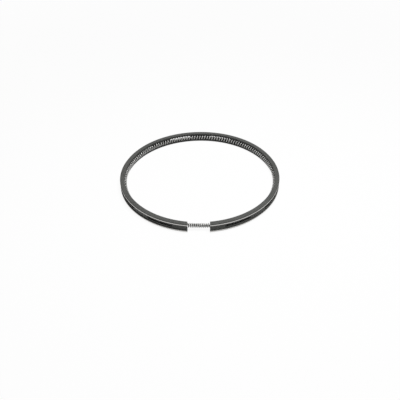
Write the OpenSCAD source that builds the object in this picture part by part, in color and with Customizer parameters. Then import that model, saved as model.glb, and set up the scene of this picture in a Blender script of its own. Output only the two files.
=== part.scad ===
/* [Ring] */
// Outside diameter of the ring lying free
free_od = 104; // [92:0.5:116]
// Height between the two side faces
ring_h = 6; // [5:0.1:7]
// Radial wall of the casting
wall = 3; // [2.6:0.1:4]
// Opening between the butt ends, lying free
end_gap = 13.2; // [6:0.1:18]
// Bevel on the two bore edges
bore_bevel = 0.15; // [0.1:0.05:0.4]

/* [Running face] */
// Height of each scraping land
land_h = 0.5; // [0.3:0.05:0.9]
// Height of the bevel outside each land
bevel_h = 0.55; // [0.2:0.05:0.7]
// Radial depth of the bevel outside each land
bevel_d = 0.4; // [0.1:0.05:0.6]
// Depth of the oil groove between the lands
groove_d = 0.65; // [0.4:0.05:0.9]
// Slope of the groove's flanks, from the radial direction
groove_flank = 30; // [10:1:40]

/* [Oil slots] */
// Number of slots round the ring
slot_count = 10; // [6:1:12]
// Length of a slot, along the groove's floor
slot_len = 18.2; // [12:0.2:21]
// Height of a slot
slot_h = 1.4; // [0.8:0.1:1.8]
// Solid arc from each butt end to the first slot
end_solid = 8.9; // [5:0.1:12]
// Diameter of the disc that mills the slots
cutter_d = 20; // [12:1:30]
// How far the disc breaks through the seat's floor
break_in = 0.35; // [0.25:0.05:0.6]

/* [Coil spring] */
// Outside diameter of the coil
spring_od = 2.8; // [2.4:0.05:3]
// Diameter of the spring wire
wire_d = 0.8; // [0.5:0.05:0.9]
// Coil pitch inside the ring
coil_pitch = 1.88; // [1.7:0.02:2.6]
// Closer pitch of the turns that bridge the gap
gap_pitch = 1.2; // [1.05:0.05:1.7]
// Turns over which the pitch closes up, on each side of the gap
tight_turns = 18; // [8:1:24]
// How far the spring stands inside the bore
spring_proud = 1.2; // [1:0.05:1.6]
// How far the spring bows inward in the middle of the gap
spring_bow = 0.5; // [0:0.1:1.2]
// Room between the spring and its seat
seat_clear = 0.1; // [0.05:0.05:0.2]

/* [Latch wire] */
// Length of the wire that joins the spring's two ends
latch_len = 15; // [8:0.5:24]
// Room between the latch wire and the turns round it
latch_clear = 0.06; // [0.04:0.01:0.15]
// Where the spring's ends meet, in degrees round from the gap
joint_at = 195; // [150:1:210]
// Cut between the two spring ends
joint_cut = 0.2; // [0.1:0.05:0.4]

/* [Hidden] */
$fn = 180;

// Cutting tools run this far past the metal
over = 1;
mid_h = ring_h / 2;
outer_r = free_od / 2;
bore_r = outer_r - wall;

// Running face
floor_r = outer_r - groove_d;
mouth_z = bevel_h + land_h;
floor_z = mouth_z + groove_d * tan(groove_flank);

// Spring and its seat, on one centre circle
coil_r = (spring_od - wire_d) / 2;
centre_r = bore_r - spring_proud + spring_od / 2;
seat_r = spring_od / 2 + seat_clear;
mm_per_deg = PI * centre_r / 180;

// Oil slots: the disc plunges to reach_r and the ring turns through the swing
reach_r = centre_r + seat_r - break_in;
disc_at = reach_r + cutter_d / 2;
run_out = acos((pow(floor_r, 2) + pow(disc_at, 2) - pow(cutter_d / 2, 2)) / (2 * floor_r * disc_at));
slot_half = slot_len / floor_r * 90 / PI;
swing = slot_half - run_out;
first_slot = asin(end_gap / 2 / floor_r) + end_solid / floor_r * 180 / PI + slot_half;
slot_pitch = (360 - 2 * first_slot) / (slot_count - 1);

// Coils: a whole number of turns, so that the two ends meet face to face
coils = round((360 * mm_per_deg + (coil_pitch - gap_pitch) * tight_turns) / coil_pitch);
fit_pitch = (360 * mm_per_deg - gap_pitch * tight_turns) / (coils - tight_turns);
joint_start = joint_at - 360;
gap_turn = (-joint_start * mm_per_deg + (fit_pitch - gap_pitch) * tight_turns / 2) / fit_pitch;
cut_turns = joint_cut / (2 * PI * coil_r) / 2;
bow_half = 2 * asin(end_gap / 2 / centre_r);

// Facets of the wire, as many sections a turn as the budget allows
wire_sides = 5;
facet_budget = 12000;
turn_steps = floor(facet_budget / (2 * wire_sides * coils));
wire_steps = turn_steps * coils;

// The latch wire fills the bore of the turns, measured at their flats
latch_r = coil_r * cos(180 / turn_steps) - wire_d / 2 - latch_clear;
latch_arc = latch_len / mm_per_deg;

// Unit vectors at an angle round from the gap, which faces -Y
function outward(at) = [sin(at), -cos(at), 0];
function along(at) = [cos(at), sin(at), 0];
up = [0, 0, 1];

// Share of the way from the open pitch to the gap's pitch, at a turn's distance from the gap
function tightness(turn) = abs(turn) < tight_turns ? (1 + cos(180 * turn / tight_turns)) / 2 : 0;
// Sum of that share over all turns up to this one
function tight_sum(turn) =
    let (t = min(max(turn, -tight_turns), tight_turns))
    (t + tight_turns) / 2 + tight_turns / (2 * PI) * sin(180 * t / tight_turns);

function turn_pitch(turn) = fit_pitch - (fit_pitch - gap_pitch) * tightness(turn - gap_turn);
function turn_angle(turn) =
    joint_start + (fit_pitch * turn - (fit_pitch - gap_pitch) * tight_sum(turn - gap_turn)) / mm_per_deg;
function bow(at) = abs(at) < bow_half ? spring_bow * pow(1 - pow(at / bow_half, 2), 2) : 0;

// One section of the wire at a turn count, square to the left-hand helix there
function wire_section(turn) =
    let (
        at = turn_angle(turn),
        phase = 360 * turn,
        lead = atan(turn_pitch(turn) / (2 * PI * coil_r)),
        from_coil = cos(phase) * outward(at) + sin(phase) * up,
        round_coil = cos(phase) * up - sin(phase) * outward(at),
        sideways = cos(lead) * along(at) - sin(lead) * round_coil,
        middle = (centre_r - bow(at)) * outward(at) + coil_r * from_coil + mid_h * up
    )
    [for (k = [0 : wire_sides - 1])
        let (a = 360 * k / wire_sides)
        middle + wire_d / 2 * (cos(a) * from_coil + sin(a) * sideways)];

module ring_section() {
    difference() {
        polygon([
            [bore_r + bore_bevel, 0],
            [outer_r - bevel_d, 0],
            [outer_r, bevel_h],
            [outer_r, mouth_z],
            [floor_r, floor_z],
            [floor_r, ring_h - floor_z],
            [outer_r, ring_h - mouth_z],
            [outer_r, ring_h - bevel_h],
            [outer_r - bevel_d, ring_h],
            [bore_r + bore_bevel, ring_h],
            [bore_r, ring_h - bore_bevel],
            [bore_r, bore_bevel]
        ]);
        // Round seat for the outer half of the spring
        translate([centre_r, mid_h])
            circle(r = seat_r);
    }
}

// What one pass of the milling disc takes away, centred on an angle round from the gap
module oil_slot(at) {
    translate([0, 0, mid_h])
        rotate(at - 90) {
            rotate(-swing)
                rotate_extrude(angle = 2 * swing)
                    translate([centre_r, -slot_h / 2])
                        square([outer_r + over - centre_r, slot_h]);
            for (side = [-1, 1])
                rotate(side * swing)
                    translate([disc_at, 0, 0])
                        cylinder(d = cutter_d, h = slot_h, center = true);
        }
}

// Split cast ring: two scraping lands, the oil groove and its slots, and the spring's seat
module oil_ring() {
    color([0.34, 0.34, 0.33])
        difference() {
            rotate_extrude()
                ring_section();
            translate([-end_gap / 2, -outer_r - over, -over])
                cube([end_gap, outer_r, ring_h + 2 * over]);
            for (i = [0 : slot_count - 1])
                oil_slot(first_slot + i * slot_pitch);
        }
}

// Coil expander: one left-hand helix bent round into a hoop
module coil_spring() {
    step = (coils - 2 * cut_turns) / wire_steps;
    sections = [for (i = [0 : wire_steps]) wire_section(cut_turns + i * step)];
    last = wire_steps * wire_sides;
    sides = [
        for (i = [0 : wire_steps - 1], k = [0 : wire_sides - 1])
            let (
                a = i * wire_sides + k,
                b = i * wire_sides + (k + 1) % wire_sides
            )
            each [[a, a + wire_sides, b + wire_sides], [a, b + wire_sides, b]]
    ];
    ends = [
        [for (k = [0 : wire_sides - 1]) k],
        [for (k = [wire_sides - 1 : -1 : 0]) last + k]
    ];
    color([0.66, 0.66, 0.64])
        polyhedron(points = [for (s = sections) each s], faces = concat(sides, ends));
}

// Plain wire inside the spring's two ends, which keeps them in line
module latch_wire() {
    color([0.74, 0.74, 0.72])
        translate([0, 0, mid_h])
            rotate(joint_at - 90 - latch_arc / 2)
                rotate_extrude(angle = latch_arc)
                    translate([centre_r, 0])
                        circle(r = latch_r);
}

oil_ring();
coil_spring();
latch_wire();
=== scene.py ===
# %% [markdown]
# # An oil control ring with its coil spring
#
# This lesson dresses one oil control ring from an engine's piston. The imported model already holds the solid
# shapes in metres: the split cast ring, the coil spring that pushes it outward, and the short wire that holds
# the spring's two ends together. Everything below is placed in that same frame: the ring lies flat on the
# floor, its axis is +Z, and its free gap faces -Y, towards the camera.

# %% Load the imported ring
import math

import bpy
import bmesh
from mathutils import Matrix, Vector


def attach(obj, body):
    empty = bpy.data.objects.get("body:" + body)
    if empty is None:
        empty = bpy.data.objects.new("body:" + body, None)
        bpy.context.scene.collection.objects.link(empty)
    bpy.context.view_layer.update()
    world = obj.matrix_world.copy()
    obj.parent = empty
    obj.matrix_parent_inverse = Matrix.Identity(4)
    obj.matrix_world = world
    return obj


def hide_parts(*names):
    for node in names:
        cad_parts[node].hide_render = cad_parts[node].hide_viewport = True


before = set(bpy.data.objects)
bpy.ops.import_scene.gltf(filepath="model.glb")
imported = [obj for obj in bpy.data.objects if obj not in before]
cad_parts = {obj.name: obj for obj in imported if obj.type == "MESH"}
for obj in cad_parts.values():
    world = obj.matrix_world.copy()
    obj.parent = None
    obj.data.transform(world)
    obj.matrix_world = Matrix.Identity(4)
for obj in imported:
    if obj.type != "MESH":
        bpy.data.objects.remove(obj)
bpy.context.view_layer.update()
scene = bpy.context.scene
scene.view_settings.view_transform = "Standard"
MM = 0.001

# %% [markdown]
# ## The ring's sizes
#
# A finish that changes from the coated faces to the bright scraping lands has to know where those faces are.
# The sizes are those of the solid model, in millimetres, and each is written here once.

# %% Sizes of the ring and its spring
OUTER_R = 52.0
BORE_R = 49.0
RING_H = 6.0
BEVEL_H = 0.55
LAND_H = 0.5
GROOVE_D = 0.65
END_GAP = 13.2
BORE_BEVEL = 0.15
SPRING_OD = 2.8
WIRE_D = 0.8
SPRING_PROUD = 1.2
SEAT_CLEAR = 0.1
MID_H = RING_H / 2
CENTRE_R = BORE_R - SPRING_PROUD + SPRING_OD / 2
SEAT_FLOOR_R = CENTRE_R + SPRING_OD / 2 + SEAT_CLEAR
print("lands from", BEVEL_H, "to", BEVEL_H + LAND_H, "mm, spring centred on a circle of", CENTRE_R, "mm radius")

# %% [markdown]
# ## The camera
#
# The photograph was taken from about 36 degrees above the table. The edges of a ring tell a lot about a camera:
# how round the ellipse is gives the height of the view, and how much larger the near side is than the far side
# gives the distance. Those two, and the slight tilt of the whole picture, are set here directly, with no shift
# of the lens: the camera simply looks at a point in front of the ring's middle.

# %% Camera
# Lengths are in millimetres and angles in degrees
CAMERA_FAR = 340.0
CAMERA_UP = 36.009
CAMERA_ROUND = 1.1
AIM_HEIGHT = 2.75
AIM_DOWN = 2.573
ROLL = -0.729
LENS = 46.314
SENSOR = 36.0
NEAR_CLIP = 10.0

camera_data = bpy.data.cameras.new("ring_camera")
camera_data.lens = LENS
camera_data.sensor_width = SENSOR
camera_data.clip_start = NEAR_CLIP * MM
camera = bpy.data.objects.new("ring_camera", camera_data)
scene.collection.objects.link(camera)
up, aside = math.radians(CAMERA_UP), math.radians(CAMERA_ROUND)
stand = Vector((math.sin(aside) * math.cos(up), -math.cos(aside) * math.cos(up), math.sin(up))) * CAMERA_FAR
camera.matrix_world = (
    Matrix.Translation((stand + Vector((0, 0, AIM_HEIGHT))) * MM)
    @ Matrix.Rotation(aside, 4, "Z")
    @ Matrix.Rotation(math.radians(90 - CAMERA_UP - AIM_DOWN), 4, "X")
    @ Matrix.Rotation(math.radians(ROLL), 4, "Z")
)
scene.camera = camera
print("camera stands at", [round(v / MM, 1) for v in camera.matrix_world.translation], "mm")

# %% [markdown]
# ## Small helpers for node trees
#
# Materials, the floor and the spring are all made of nodes. A few short helpers keep the cells readable. The first
# adds a node and fills its inputs, and the others add what is needed again and again: arithmetic, a weighted sum, a
# slide from one number to another, noise, a ramp of two greys, and the start and end of a material.


# %% Node helpers
def put(tree, kind, inputs=None, **settings):
    """Adds a node. An input is a plain value or another node's output socket."""
    node = tree.nodes.new(kind)
    for key, value in settings.items():
        setattr(node, key, value)
    for key, value in (inputs or {}).items():
        if isinstance(value, bpy.types.NodeSocket):
            tree.links.new(value, node.inputs[key])
        else:
            node.inputs[key].default_value = value
    return node


def calc(tree, operation, *terms):
    """One step of arithmetic on numbers and sockets."""
    return put(tree, "ShaderNodeMath", dict(enumerate(terms)), operation=operation).outputs[0]


def add_up(tree, *parts):
    """The sum of some values, each times its weight."""
    total = 0.0
    for value, weight in parts:
        total = calc(tree, "MULTIPLY_ADD", value, weight, total)
    return total


def slide(tree, value, low, high, first=0.0, last=1.0):
    """Goes from the first number to the last while the value goes from low to high, and no further."""
    return put(tree, "ShaderNodeMapRange", {
        "Value": value, "From Min": low, "From Max": high, "To Min": first, "To Max": last}).outputs[0]


def noise(tree, place, scale, detail, roughness=0.5):
    return put(tree, "ShaderNodeTexNoise", {
        "Vector": place, "Scale": scale, "Detail": detail, "Roughness": roughness}).outputs[0]


def two_greys(tree, value, dark, light):
    """A ramp from a dark to a light grey over the middle of a noise's range."""
    ramp = put(tree, "ShaderNodeValToRGB", {"Fac": value})
    for element, position, grey in zip(ramp.color_ramp.elements, (0.3, 0.7), (dark, light)):
        element.position = position
        element.color = (*grey, 1)
    return ramp.outputs[0]


def times(tree, colour, factor):
    return put(tree, "ShaderNodeVectorMath", {0: colour, "Scale": factor}, operation="SCALE").outputs[0]


def blank_material(name):
    material = bpy.data.materials.new(name)
    material.use_nodes = True
    material.node_tree.nodes.clear()
    return material, material.node_tree


def end_material(tree, inputs):
    """Adds the shader of a solid surface and joins it to the material's output."""
    shader = put(tree, "ShaderNodeBsdfPrincipled", inputs)
    put(tree, "ShaderNodeOutputMaterial", {"Surface": shader.outputs[0]})


print("helpers ready")

# %% [markdown]
# ## Floor and light
#
# The ring lies on a white table under one broad soft box, which hangs nearly overhead. The table is a pale diffuse
# plane, so that it bounces light up into the groove and keeps the ring's faint shadow. What the camera and the
# shiny metal see of it is mostly plain white, and wholly so away from the ring. All round stands a white wall that
# fades out upward. Only the camera, reflections and clear materials see it, so low views have a white background
# too, but it lights nothing. The room above is dim, which leaves the bevels and the bore dark, as in the photograph.


# %% Floor
# Lengths are in metres
FLOOR_HALF = 3.0
FLOOR_DROP = 0.00001
FLOOR_GREY = 0.65
FLOOR_GREY_SEEN = 0.85
WHITE_NEAR_RING = 0.92
FADE_FROM = 0.15
FADE_TO = 0.6


def sees_background(tree):
    """1 for the rays of the camera, of reflections and of clear materials, otherwise 0."""
    rays = put(tree, "ShaderNodeLightPath").outputs
    seen = calc(tree, "MAXIMUM", rays["Is Camera Ray"], rays["Is Glossy Ray"])
    return calc(tree, "MAXIMUM", seen, rays["Is Transmission Ray"])


floor_paper, tree = blank_material("white_table")
seen = sees_background(tree)
diffuse = put(tree, "ShaderNodeBsdfDiffuse", {
    "Color": calc(tree, "MULTIPLY_ADD", seen, FLOOR_GREY_SEEN - FLOOR_GREY, FLOOR_GREY)})
white = put(tree, "ShaderNodeEmission", {"Color": (1, 1, 1, 1), "Strength": 1.0})
place = put(tree, "ShaderNodeTexCoord").outputs["Object"]
away = put(tree, "ShaderNodeVectorMath", {0: place}, operation="LENGTH").outputs["Value"]
share = calc(tree, "MULTIPLY", seen, slide(tree, away, FADE_FROM, FADE_TO, WHITE_NEAR_RING, 1.0))
mixed = put(tree, "ShaderNodeMixShader", {0: share, 1: diffuse.outputs[0], 2: white.outputs[0]})
put(tree, "ShaderNodeOutputMaterial", {"Surface": mixed.outputs[0]})

floor_mesh = bpy.data.meshes.new("table")
corners = [(-1, -1), (1, -1), (1, 1), (-1, 1)]
floor_mesh.from_pydata([(x * FLOOR_HALF, y * FLOOR_HALF, -FLOOR_DROP) for x, y in corners], [], [(0, 1, 2, 3)])
floor_mesh.materials.append(floor_paper)
table = bpy.data.objects.new("table", floor_mesh)
scene.collection.objects.link(table)
print("table", 2 * FLOOR_HALF, "m square")

# %% World
# The wall is plain white up to one height of the view direction, and gone above the other
WORLD_LIGHT = 0.05
WALL_FULL = 0.36
WALL_END = 0.5

world = bpy.data.worlds.new("dim_room")
scene.world = world
world.use_nodes = True
tree = world.node_tree
tree.nodes.clear()
direction = put(tree, "ShaderNodeTexCoord").outputs["Generated"]
climb = put(tree, "ShaderNodeSeparateXYZ", {0: direction}).outputs["Z"]
shown = calc(tree, "MULTIPLY", sees_background(tree), slide(tree, climb, WALL_FULL, WALL_END, 1.0, 0.0))
room = put(tree, "ShaderNodeBackground", {
    "Color": (1, 1, 1, 1), "Strength": calc(tree, "MULTIPLY_ADD", shown, 1.0 - WORLD_LIGHT, WORLD_LIGHT)})
put(tree, "ShaderNodeOutputWorld", {"Surface": room.outputs[0]})
print("room at", WORLD_LIGHT)

# %% Soft box
# Place and width are in metres
LAMP_AT = (0.06, -0.03, 0.45)
LAMP_WIDE = 0.28
LAMP_WATTS = 2.45

lamp_data = bpy.data.lights.new("soft_box", "AREA")
lamp_data.shape = "DISK"
lamp_data.size = LAMP_WIDE
lamp_data.energy = LAMP_WATTS
lamp = bpy.data.objects.new("soft_box", lamp_data)
scene.collection.objects.link(lamp)
lamp.location = LAMP_AT
lamp.rotation_euler = (-lamp.location).to_track_quat("-Z", "Y").to_euler()
print("one soft box of", LAMP_WATTS, "W")

# %% [markdown]
# ## The cast ring's finish
#
# The ring is cast iron with a dark phosphate coat: a matt, slightly mottled grey-black. Its two side faces are
# ground and its outside is turned, so under the coat there are fine lines that run round the ring. Only the two
# narrow scraping lands are lapped bright, because they have to fit the cylinder. One material does it all from
# Object coordinates: the distance from the axis and the height tell the lands from the rest, and a noise that
# is stretched round the axis draws the lines. The coat also carries painted light: painted shade darkens the bore
# and the spring's seat, where the recess is shaded, and painted bounce light lightens the groove a little.

# %% Where a point lies on the ring
iron, tree = blank_material("phosphated_cast_iron")
place = put(tree, "ShaderNodeTexCoord").outputs["Object"]
axes = put(tree, "ShaderNodeSeparateXYZ", {0: place}).outputs
from_axis = calc(tree, "SQRT", calc(tree, "ADD", calc(tree, "MULTIPLY", axes["X"], axes["X"]),
                                    calc(tree, "MULTIPLY", axes["Y"], axes["Y"])))
radius_mm = calc(tree, "MULTIPLY", from_axis, 1 / MM)
height_mm = calc(tree, "MULTIPLY", axes["Z"], 1 / MM)
off_middle = calc(tree, "ABSOLUTE", calc(tree, "SUBTRACT", height_mm, MID_H))
turn = calc(tree, "ARCTAN2", axes["Y"], axes["X"])
print("material reads radius and height in millimetres")

# %% The bright lands
LAND_BLUR = 0.03
LAND_SKIN = 0.06

land_low = MID_H - BEVEL_H - LAND_H
land_high = MID_H - BEVEL_H
land_band = calc(tree, "MULTIPLY", slide(tree, off_middle, land_low - LAND_BLUR, land_low + LAND_BLUR),
                 slide(tree, off_middle, land_high - LAND_BLUR, land_high + LAND_BLUR, 1.0, 0.0))
on_land = calc(tree, "MULTIPLY", land_band, calc(tree, "GREATER_THAN", radius_mm, OUTER_R - LAND_SKIN))
print("lands lie", land_low, "to", land_high, "mm from the middle height")

# %% Mottle and turning lines
MOTTLE_SCALE = 700.0
CLOUD_SCALE = 90.0
LINES_A_MM = 9.0
LINES_A_RADIAN = 5.0
COAT_DARK = (0.052, 0.053, 0.050)
COAT_LIGHT = (0.110, 0.112, 0.106)

mottle = noise(tree, place, MOTTLE_SCALE, detail=5.0, roughness=0.6)
clouds = noise(tree, place, CLOUD_SCALE, detail=2.0)
round_the_axis = put(tree, "ShaderNodeCombineXYZ", {
    "X": calc(tree, "MULTIPLY", radius_mm, LINES_A_MM), "Y": calc(tree, "MULTIPLY", turn, LINES_A_RADIAN),
    "Z": calc(tree, "MULTIPLY", height_mm, LINES_A_MM)}).outputs[0]
lines = noise(tree, round_the_axis, scale=1.0, detail=3.0, roughness=0.65)
coat = two_greys(tree, add_up(tree, (lines, 0.3), (clouds, 0.25), (mottle, 0.45)), COAT_DARK, COAT_LIGHT)
print("coat runs from", COAT_DARK[0], "to", COAT_LIGHT[0])

# %% Painted shade in the bore and painted bounce light in the groove
# Painted shade: the coat in the bore and the spring's seat is darkened to this share of its grey
BORE_PAINTED_SHADE = 0.4
# Painted bounce light: the coat in the groove is lightened to this share of its grey
GROOVE_PAINTED_LIGHT = 1.3
GROOVE_SKIN = 0.05

in_bore = calc(tree, "MULTIPLY", calc(tree, "LESS_THAN", off_middle, MID_H - BORE_BEVEL),
               calc(tree, "LESS_THAN", radius_mm, SEAT_FLOOR_R))
in_groove = calc(tree, "MULTIPLY", calc(tree, "LESS_THAN", off_middle, land_low),
                 calc(tree, "GREATER_THAN", radius_mm, OUTER_R - GROOVE_D - GROOVE_SKIN))
groove_painted_light = calc(tree, "MULTIPLY_ADD", in_groove, GROOVE_PAINTED_LIGHT - 1.0, 1.0)
# The coat's grey with painted shade in the bore and seat and painted bounce light in the groove
coated = times(tree, coat, calc(tree, "MULTIPLY_ADD", in_bore, BORE_PAINTED_SHADE - 1.0, groove_painted_light))
print("bore at", BORE_PAINTED_SHADE, "and groove at", GROOVE_PAINTED_LIGHT, "of the coat's grey")

# %% Coat and bright metal in one shader
LAND_METAL = (0.62, 0.61, 0.59, 1)
COAT_ROUGH = 0.46
COAT_ROUGH_SPREAD = 0.22
LAND_SMOOTHER = 0.28
COAT_SHEEN = 0.25
BUMP_STRENGTH = 0.25
BUMP_DEPTH = 0.03

colour = put(tree, "ShaderNodeMix", {0: on_land, 6: coated, 7: LAND_METAL}, data_type="RGBA")
colour_out = [socket for socket in colour.outputs if socket.type == "RGBA"][0]
matt = calc(tree, "MULTIPLY_ADD", mottle, COAT_ROUGH_SPREAD, COAT_ROUGH)
bump = put(tree, "ShaderNodeBump", {
    "Height": add_up(tree, (lines, 0.6), (mottle, 0.4)), "Strength": BUMP_STRENGTH, "Distance": BUMP_DEPTH * MM})
end_material(tree, {
    "Base Color": colour_out, "Metallic": on_land, "Specular IOR Level": COAT_SHEEN,
    "Roughness": calc(tree, "MULTIPLY_ADD", on_land, -LAND_SMOOTHER, matt), "Normal": bump.outputs[0]})
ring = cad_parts["oil_ring"]
ring.data.materials.clear()
ring.data.materials.append(iron)
print("ring has", len(ring.data.polygons), "faces")

# %% [markdown]
# ## The coil spring
#
# The spring is one drawn steel wire, wound left-handed and bent round into a hoop. Its turns close up where it
# bridges the ring's gap, and it bows inward a little there. A modeller could bend an array of one coil along a
# circle, but the pitch changes along it. Geometry Nodes can follow the rule itself: a straight row of points is
# numbered, each number becomes a turn count, and the turn count becomes a place on the coil.

# %% Rule of the coil
OPEN_PITCH = 1.88
GAP_PITCH = 1.2
TIGHT_TURNS = 18
BOW = 0.5
JOINT_AT = 195.0
JOINT_CUT = 0.2
SECTIONS_A_TURN = 22
WIRE_SIDES = 10

COIL_R = (SPRING_OD - WIRE_D) / 2
hoop = 2 * math.pi * CENTRE_R
TURNS = round((hoop + (OPEN_PITCH - GAP_PITCH) * TIGHT_TURNS) / OPEN_PITCH)
FIT_PITCH = (hoop - GAP_PITCH * TIGHT_TURNS) / (TURNS - TIGHT_TURNS)
JOINT_START = math.radians(JOINT_AT - 360)
GAP_TURN = (-JOINT_START * CENTRE_R + (FIT_PITCH - GAP_PITCH) * TIGHT_TURNS / 2) / FIT_PITCH
CUT_TURNS = JOINT_CUT / (2 * math.pi * COIL_R) / 2
BOW_HALF = 2 * math.asin(END_GAP / 2 / CENTRE_R)
print(TURNS, "turns at a pitch of", round(FIT_PITCH, 3), "mm")

# %% Node group with its named inputs
coil = bpy.data.node_groups.new("coil_spring", "GeometryNodeTree")
coil.interface.new_socket("Geometry", in_out="OUTPUT", socket_type="NodeSocketGeometry")
SIZES = {
    "Turns": TURNS, "Sections a turn": SECTIONS_A_TURN, "Cut turns": CUT_TURNS, "Open pitch": FIT_PITCH * MM,
    "Gap pitch": GAP_PITCH * MM, "Tight turns": TIGHT_TURNS, "Gap turn": GAP_TURN, "Start angle": JOINT_START,
    "Hoop radius": CENTRE_R * MM, "Coil radius": COIL_R * MM, "Wire radius": WIRE_D / 2 * MM,
    "Middle height": MID_H * MM, "Bow": BOW * MM, "Bow half angle": BOW_HALF,
}
for name in SIZES:
    coil.interface.new_socket(name, in_out="INPUT", socket_type="NodeSocketFloat")
given = put(coil, "NodeGroupInput").outputs
print("inputs:", ", ".join(SIZES))

# %% From a point's number to its angle round the ring
count = calc(coil, "ROUND", calc(coil, "MULTIPLY", given["Turns"], given["Sections a turn"]))
both_cuts = calc(coil, "MULTIPLY", given["Cut turns"], 2.0)
step = calc(coil, "DIVIDE", calc(coil, "SUBTRACT", given["Turns"], both_cuts), count)
number = put(coil, "GeometryNodeInputIndex").outputs[0]
turns = calc(coil, "ADD", given["Cut turns"], calc(coil, "MULTIPLY", number, step))
from_gap = calc(coil, "SUBTRACT", turns, given["Gap turn"])
held = calc(coil, "MINIMUM", calc(coil, "MAXIMUM", from_gap, calc(coil, "MULTIPLY", given["Tight turns"], -1.0)),
            given["Tight turns"])
wave = calc(coil, "SINE", calc(coil, "MULTIPLY", calc(coil, "DIVIDE", held, given["Tight turns"]), math.pi))
tight_sum = calc(coil, "ADD", calc(coil, "MULTIPLY", calc(coil, "ADD", held, given["Tight turns"]), 0.5),
                 calc(coil, "MULTIPLY", calc(coil, "MULTIPLY", given["Tight turns"], 1 / (2 * math.pi)), wave))
travel = calc(coil, "SUBTRACT", calc(coil, "MULTIPLY", given["Open pitch"], turns),
              calc(coil, "MULTIPLY", calc(coil, "SUBTRACT", given["Open pitch"], given["Gap pitch"]), tight_sum))
angle = calc(coil, "ADD", given["Start angle"], calc(coil, "DIVIDE", travel, given["Hoop radius"]))
print("angle runs from", round(math.degrees(JOINT_START)), "to", round(JOINT_AT), "degrees round from the gap")

# %% From the angle to a place on the coil
share = calc(coil, "DIVIDE", angle, given["Bow half angle"])
inside = calc(coil, "MAXIMUM", calc(coil, "SUBTRACT", 1.0, calc(coil, "MULTIPLY", share, share)), 0.0)
bow = calc(coil, "MULTIPLY", given["Bow"], calc(coil, "MULTIPLY", inside, inside))
phase = calc(coil, "MULTIPLY", turns, 2 * math.pi)
hoop_reach = calc(coil, "SUBTRACT", given["Hoop radius"], bow)
reach = calc(coil, "ADD", hoop_reach, calc(coil, "MULTIPLY", given["Coil radius"], calc(coil, "COSINE", phase)))
rise = calc(coil, "MULTIPLY", given["Coil radius"], calc(coil, "SINE", phase))


def at_angle(reach, height):
    """The place at this distance from the ring's axis and this height, at each point's angle."""
    return put(coil, "ShaderNodeCombineXYZ", {
        "X": calc(coil, "MULTIPLY", reach, calc(coil, "SINE", angle)),
        "Y": calc(coil, "MULTIPLY", calc(coil, "MULTIPLY", reach, calc(coil, "COSINE", angle)), -1.0),
        "Z": height}).outputs[0]


spot = at_angle(reach, calc(coil, "ADD", given["Middle height"], rise))
core = at_angle(hoop_reach, given["Middle height"])
print("the coil stands", SPRING_PROUD, "mm inside the bore")

# %% Wire, finish and output of the node group
steel, steel_tree = blank_material("drawn_spring_steel")
row = put(coil, "GeometryNodeCurvePrimitiveLine").outputs[0]
row = put(coil, "GeometryNodeResampleCurve", {"Curve": row, "Count": calc(coil, "ADD", count, 1.0)}).outputs[0]
row = put(coil, "GeometryNodeSetPosition", {"Geometry": row, "Position": spot}).outputs[0]
for name, value, kind in (("wire_turn", turns, "FLOAT"), ("coil_core", core, "FLOAT_VECTOR")):
    row = put(coil, "GeometryNodeStoreNamedAttribute", {"Geometry": row, "Name": name, "Value": value},
              data_type=kind, domain="POINT").outputs[0]
bead = put(coil, "GeometryNodeCurvePrimitiveCircle", {
    "Resolution": WIRE_SIDES, "Radius": given["Wire radius"]}).outputs[0]
wire = put(coil, "GeometryNodeCurveToMesh", {"Curve": row, "Profile Curve": bead, "Fill Caps": True}).outputs[0]
wire = put(coil, "GeometryNodeSetShadeSmooth", {"Geometry": wire}).outputs[0]
wire = put(coil, "GeometryNodeRealizeInstances", {"Geometry": wire}).outputs[0]
wire = put(coil, "GeometryNodeSetMaterial", {"Geometry": wire, "Material": steel}).outputs[0]
put(coil, "NodeGroupOutput", {"Geometry": wire})
print("node group has", len(coil.nodes), "nodes")

# %% Run the node group once and keep the plain mesh
seed = bpy.data.objects.new("spring_seed", bpy.data.meshes.new("spring_seed"))
scene.collection.objects.link(seed)
modifier = seed.modifiers.new("coil", "NODES")
modifier.node_group = coil
for item in coil.interface.items_tree:
    if item.in_out == "INPUT":
        modifier[item.identifier] = float(SIZES[item.name])
bpy.context.view_layer.update()
evaluated = seed.evaluated_get(bpy.context.evaluated_depsgraph_get())
spring_mesh = bpy.data.meshes.new_from_object(evaluated)
spring_mesh.name = "expander_spring"
seed.modifiers.remove(modifier)
bpy.data.objects.remove(seed)

shape = bmesh.new()
shape.from_mesh(spring_mesh)
if shape.calc_volume(signed=True) < 0:
    bmesh.ops.reverse_faces(shape, faces=shape.faces[:])
print("spring:", len(shape.faces), "faces,", round(shape.calc_volume(signed=True) / MM ** 3, 1), "mm3")
shape.to_mesh(spring_mesh)
shape.free()
spring = bpy.data.objects.new("expander_spring", spring_mesh)
scene.collection.objects.link(spring)

# %% [markdown]
# ## Spring steel
#
# Drawn wire keeps a thin grey skin, so it shines more like an oiled surface than like bare metal. It is darker
# where the skin is thick, and fine draw lines run along it. The node group left each point's turn count on the
# mesh, so the lines can follow the wire. It also left the coil's middle there, so the shader can paint shade on
# the inside of the coil, which the turns keep in shade, and leave the outside of the coil as it is.

# %% Spring steel
SKIN_SCALE = 900.0
STREAKS_A_TURN = 6.0
WIRE_DARK = (0.34, 0.34, 0.330)
WIRE_LIGHT = (0.50, 0.50, 0.485)
# Painted shade inside the coil: the share of the wire's grey that is kept there
INSIDE_PAINTED_SHADE = 0.20
INSIDE_SHADE_SOFTNESS = 0.2
WIRE_METAL = 0.3
WIRE_SHEEN = 0.8
WIRE_ROUGH = 0.20
WIRE_ROUGH_SPREAD = 0.16

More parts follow.
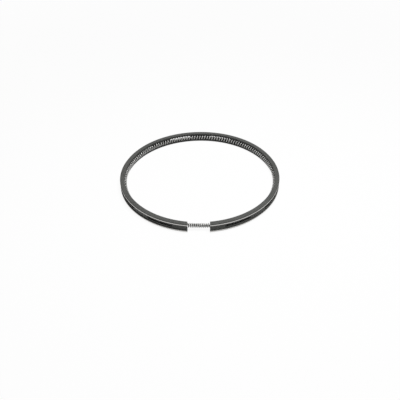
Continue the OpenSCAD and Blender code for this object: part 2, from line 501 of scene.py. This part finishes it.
tree = steel_tree
place = put(tree, "ShaderNodeTexCoord").outputs["Object"]
skin = noise(tree, place, SKIN_SCALE, detail=4.0)
along = put(tree, "ShaderNodeAttribute", attribute_name="wire_turn").outputs["Fac"]
streak = put(tree, "ShaderNodeTexNoise", {
    "W": calc(tree, "MULTIPLY", along, STREAKS_A_TURN), "Scale": 1.0, "Detail": 3.0},
    noise_dimensions="1D").outputs[0]
drawn = two_greys(tree, add_up(tree, (streak, 0.4), (skin, 0.6)), WIRE_DARK, WIRE_LIGHT)
core = put(tree, "ShaderNodeAttribute", attribute_name="coil_core").outputs["Vector"]
from_core = put(tree, "ShaderNodeVectorMath", {0: place, 1: core}, operation="DISTANCE").outputs["Value"]
# Painted shade: the wire's colour is darkened on the inside of the coil, where the turns shade it
coil_inside_shade = slide(tree, from_core, (COIL_R - INSIDE_SHADE_SOFTNESS) * MM, (COIL_R + INSIDE_SHADE_SOFTNESS) * MM, INSIDE_PAINTED_SHADE, 1.0)
end_material(tree, {
    "Base Color": times(tree, drawn, coil_inside_shade), "Metallic": WIRE_METAL, "Specular IOR Level": WIRE_SHEEN,
    "Roughness": calc(tree, "MULTIPLY_ADD", skin, WIRE_ROUGH_SPREAD, WIRE_ROUGH)})

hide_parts("coil_spring")
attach(spring, "root")
print("spring rides on the ring's body")

# %% [markdown]
# ## Latch wire
#
# Where the spring's two ends meet, a short plain wire inside the coil keeps them in line. It shows between the
# turns and fills the dark inside of the coil, so this stretch of the spring looks brighter and less broken. Its
# solid is right as it is, so it only gets its finish.

# %% Latch wire
POLISH_SCALE = 1200.0
LATCH_DARK = (0.20, 0.20, 0.195)
LATCH_LIGHT = (0.30, 0.30, 0.29)
LATCH_METAL = 0.4
LATCH_ROUGH = 0.34
LATCH_ROUGH_SPREAD = 0.16

plain_wire, tree = blank_material("bright_latch_wire")
place = put(tree, "ShaderNodeTexCoord").outputs["Object"]
polish = noise(tree, place, POLISH_SCALE, detail=3.0)
end_material(tree, {
    "Base Color": two_greys(tree, polish, LATCH_DARK, LATCH_LIGHT), "Metallic": LATCH_METAL,
    "Roughness": calc(tree, "MULTIPLY_ADD", polish, LATCH_ROUGH_SPREAD, LATCH_ROUGH)})
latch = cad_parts["latch_wire"]
latch.data.materials.clear()
latch.data.materials.append(plain_wire)
print("latch wire has", len(latch.data.polygons), "faces")
